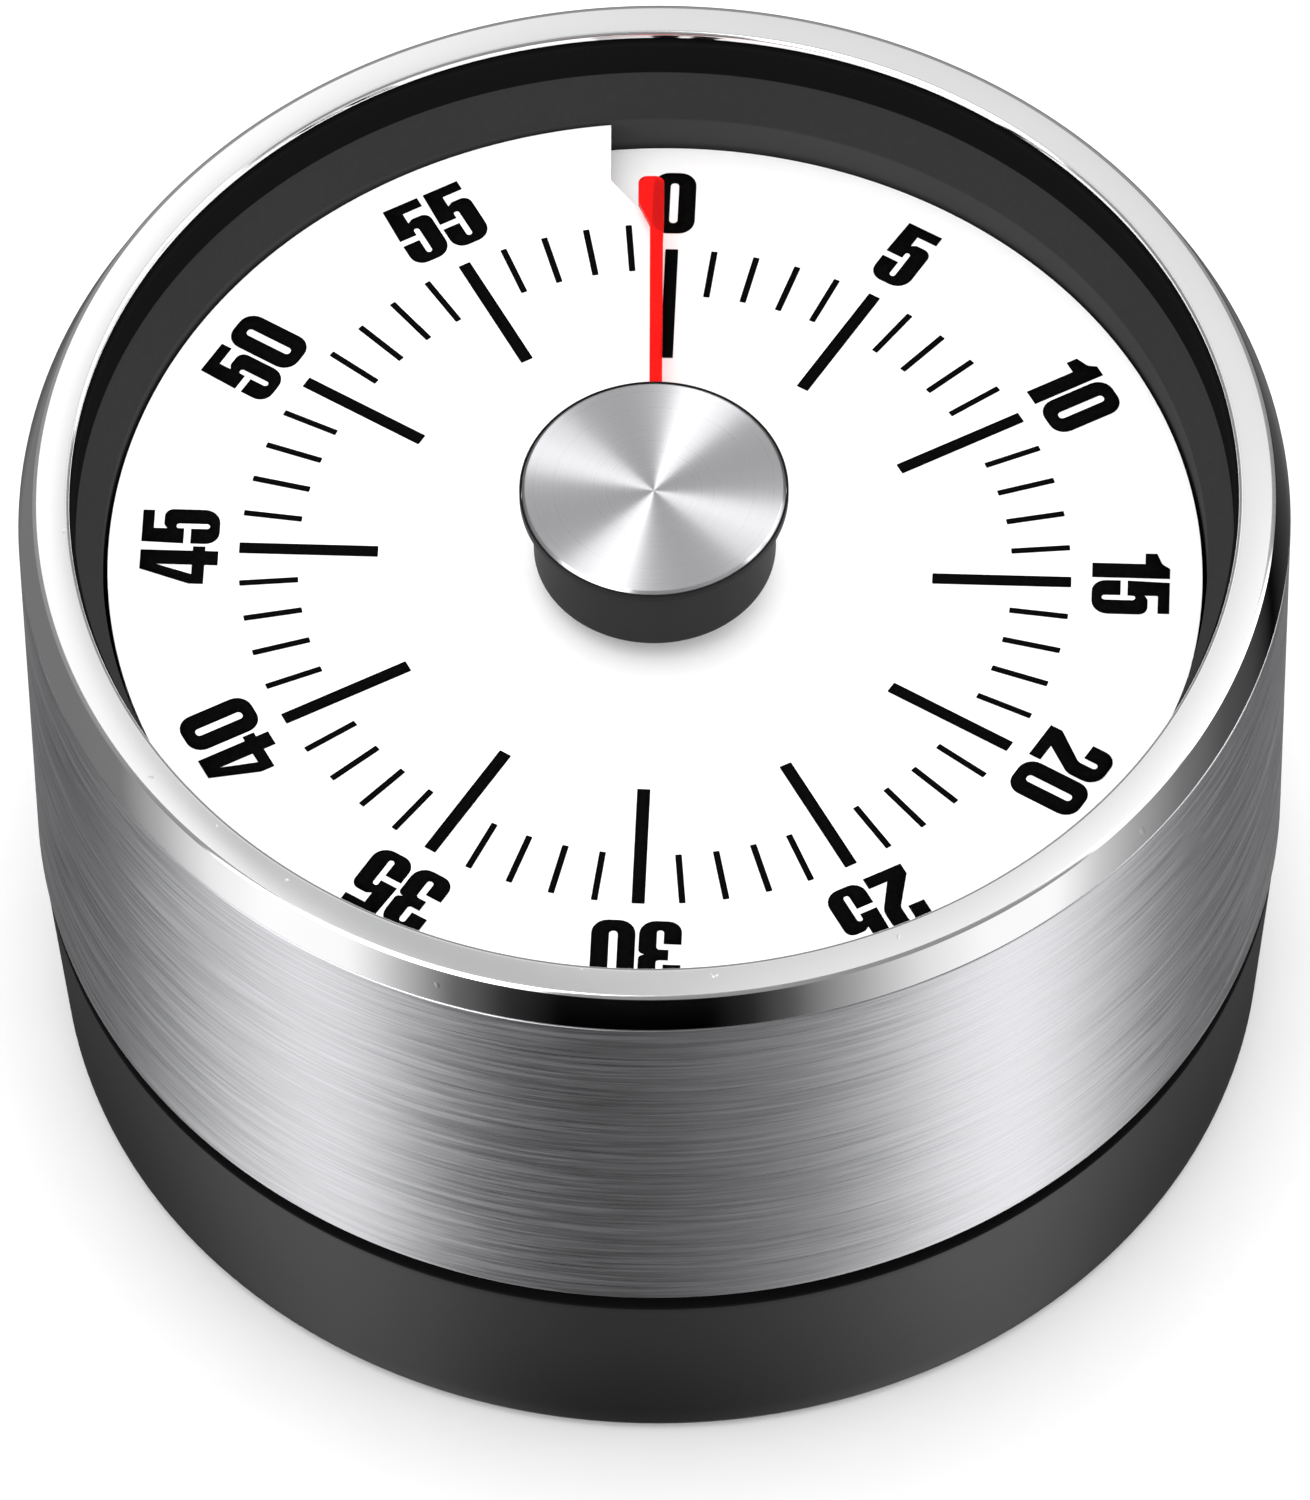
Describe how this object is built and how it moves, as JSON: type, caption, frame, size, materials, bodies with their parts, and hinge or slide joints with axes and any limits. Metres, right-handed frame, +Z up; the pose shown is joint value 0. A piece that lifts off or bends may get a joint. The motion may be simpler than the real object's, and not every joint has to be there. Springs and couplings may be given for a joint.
{
  "type": "kitchen timer",
  "caption": "Round wind-up kitchen timer: brushed steel sleeve, polished rim, dark base, sunk white dial, central knob with red pointer, clockwork and bell inside.",
  "frame": {"origin": "centre of the underside of the rubber foot ring, on the table", "axes": "+Z up along the knob's axis; +Y from the centre to the zero mark, where the pointer rests; a user stands at -Y"},
  "size_m": [0.078, 0.078, 0.0471],
  "materials": {
    "brushed_steel": "fine lines brushed round the sleeve",
    "polished_steel": "mirror polish",
    "spun_steel": "spun in fine circles, with fans of light from the middle",
    "black_plastic": "satin black",
    "grey_plastic": "satin dark grey",
    "white_dial": "matt white with black ink",
    "red_disc": "matt red film",
    "red_clear": "clear red",
    "rubber": "matt",
    "magnet": "nickel plated",
    "brass": "stamped and rolled",
    "plated_steel": "zinc plated",
    "spring_steel": "blued",
    "nylon": "natural"
  },
  "bodies": {
    "case": {"base_shell": "grey_plastic", "foot_ring": "rubber", "magnet_1": "magnet", "magnet_2": "magnet", "magnet_3": "magnet", "steel_sleeve": "brushed_steel", "bezel_ring": "polished_steel", "inner_frame": "black_plastic", "well_ring": "black_plastic", "dial_ramp": "black_plastic", "dial": "white_dial", "case_screw_1": "plated_steel", "case_screw_2": "plated_steel", "case_screw_3": "plated_steel", "front_plate": "plated_steel", "back_plate": "plated_steel", "pillar_1": "plated_steel", "pillar_2": "plated_steel", "pillar_3": "plated_steel", "movement_screw_1": "plated_steel", "movement_screw_2": "plated_steel", "movement_screw_3": "plated_steel", "spring_barrel": "brass", "mainspring": "spring_steel", "hairspring": "spring_steel", "bell": "plated_steel", "bell_post": "brass", "bell_screw": "plated_steel"},
    "knob": {"knob_cap": "spun_steel", "knob_skirt": "grey_plastic", "pointer": "red_clear", "main_arbor": "plated_steel", "main_wheel": "brass", "ratchet_wheel": "plated_steel", "stop_cam": "brass", "click_stud": "plated_steel", "click_spring": "spring_steel"},
    "disc": {"countdown_disc": "red_disc", "disc_hub": "nylon"},
    "click": {"click": "plated_steel"},
    "second_arbor": {"second_pinion": "plated_steel", "second_wheel": "brass"},
    "third_arbor": {"third_pinion": "plated_steel", "third_wheel": "brass"},
    "escape_arbor": {"escape_pinion": "plated_steel", "escape_wheel": "brass"},
    "pallets": {"pallet_lever": "plated_steel", "pallet_arbor": "plated_steel"},
    "balance": {"balance_wheel": "brass", "balance_staff": "plated_steel"},
    "hammer": {"hammer_arm": "plated_steel", "hammer_arbor": "plated_steel", "hammer_head": "brass"},
    "release": {"release_lever": "plated_steel", "release_arbor": "plated_steel"}
  },
  "joints": [
    {"name": "set_time", "type": "hinge", "parent": "case", "child": "knob", "pos_m": [0, 0, 0.02], "axis": [0, 0, -1], "range_deg": [0, 360]},
    {"name": "disc_climb", "type": "slide", "parent": "knob", "child": "disc", "axis": [0, 0, 1], "range_m": [0, 0.0011]},
    {"name": "second_spin", "type": "hinge", "parent": "case", "child": "second_arbor", "pos_m": [-0.01597, -0.00581, 0.02], "axis": [0, 0, 1], "continuous": true},
    {"name": "third_spin", "type": "hinge", "parent": "case", "child": "third_arbor", "pos_m": [-0.00834, -0.01707, 0.02], "axis": [0, 0, 1], "continuous": true},
    {"name": "escape_spin", "type": "hinge", "parent": "case", "child": "escape_arbor", "pos_m": [0.0018, -0.02092, 0.02], "axis": [0, 0, 1], "continuous": true},
    {"name": "pallet_rock", "type": "hinge", "parent": "case", "child": "pallets", "pos_m": [0.00858, -0.01917, 0.02], "axis": [0, 0, 1], "range_deg": [-4, 4]},
    {"name": "balance_swing", "type": "hinge", "parent": "case", "child": "balance", "pos_m": [0.0155, -0.01296, 0.02], "axis": [0, 0, 1], "range_deg": [-120, 120], "stiffness_Nm_per_rad": 0.000001},
    {"name": "hammer_swing", "type": "hinge", "parent": "case", "child": "hammer", "pos_m": [0.01518, 0.00949, 0.02], "axis": [0, 0, 1], "range_deg": [-4, 0], "stiffness_Nm_per_rad": 0.0001},
    {"name": "release_swing", "type": "hinge", "parent": "case", "child": "release", "pos_m": [0.00602, 0.01749, 0.02], "axis": [0, 0, 1], "range_deg": [-6, 8], "stiffness_Nm_per_rad": 0.00001},
    {"name": "click_swing", "type": "hinge", "parent": "knob", "child": "click", "pos_m": [0.0045, 0.00779, 0.02], "axis": [0, 0, 1], "range_deg": [0, 8], "stiffness_Nm_per_rad": 0.0001}
  ],
  "couplings": [
    {"joint": "disc_climb", "follows": "set_time", "m_per_rad": 0.00017507},
    {"joint": "second_spin", "follows": "set_time", "ratio": 7.5},
    {"joint": "third_spin", "follows": "set_time", "ratio": -56.25},
    {"joint": "escape_spin", "follows": "set_time", "ratio": 379.69}
  ]
}
